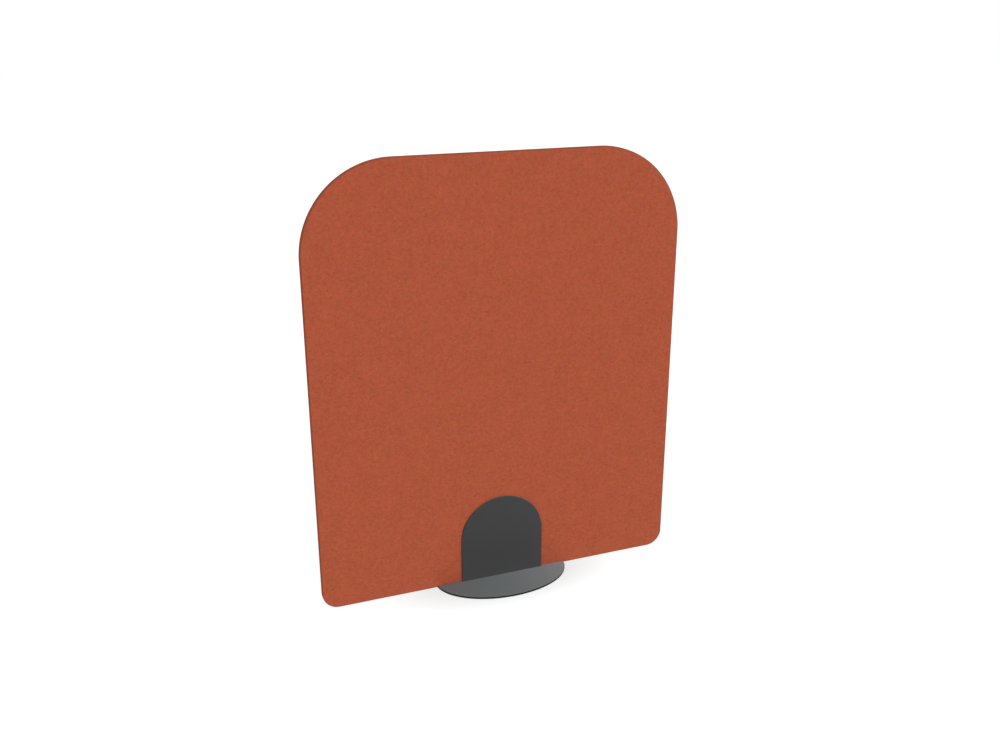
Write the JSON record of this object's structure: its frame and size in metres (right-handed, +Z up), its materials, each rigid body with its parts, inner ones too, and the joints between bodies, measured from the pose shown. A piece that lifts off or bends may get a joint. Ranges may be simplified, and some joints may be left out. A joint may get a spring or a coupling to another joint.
{
  "type": "acoustic divider screen",
  "caption": "Free-standing acoustic screen: a thin felt-covered board with large rounded top corners, clamped at the floor between half-oval steel feet with arch-shaped uprights.",
  "frame": {"origin": "on the floor under the middle of the screen", "axes": "+Z up, +X along the screen's width, the front face looks along -Y"},
  "size_m": [1.2, 0.3, 1.3915],
  "materials": {
    "cover_felt": "melange wool felt, rust orange",
    "wadding": "white polyester wadding",
    "infill": "pressed grey fibre board",
    "frame_board": "plain sawn fibreboard",
    "dowel_wood": "fluted beech",
    "powder_coat": "fine matt dark grey powder coat",
    "fastener_steel": "zinc plated",
    "boss_steel": "turned, oiled",
    "pad_rubber": "black rubber pads"
  },
  "bodies": {
    "root": {"front_cover": "cover_felt", "rear_cover": "cover_felt", "bottom_strip": "cover_felt", "strip_staples": "fastener_steel", "front_wadding": "wadding", "rear_wadding": "wadding", "bottom_rail": "frame_board", "left_stile": "frame_board", "right_stile": "frame_board", "top_rail": "frame_board", "mid_rail": "frame_board", "top_left_corner": "frame_board", "top_right_corner": "frame_board", "mounting_block": "frame_board", "frame_dowels": "dowel_wood", "upper_infill": "infill", "lower_infill": "infill", "front_upright": "powder_coat", "rear_upright": "powder_coat", "front_foot_plate": "powder_coat", "rear_foot_plate": "powder_coat", "front_weld": "powder_coat", "rear_weld": "powder_coat", "threaded_bosses": "boss_steel", "clamp_screws": "fastener_steel", "front_floor_pads": "pad_rubber", "rear_floor_pads": "pad_rubber"}
  },
  "joints": []
}
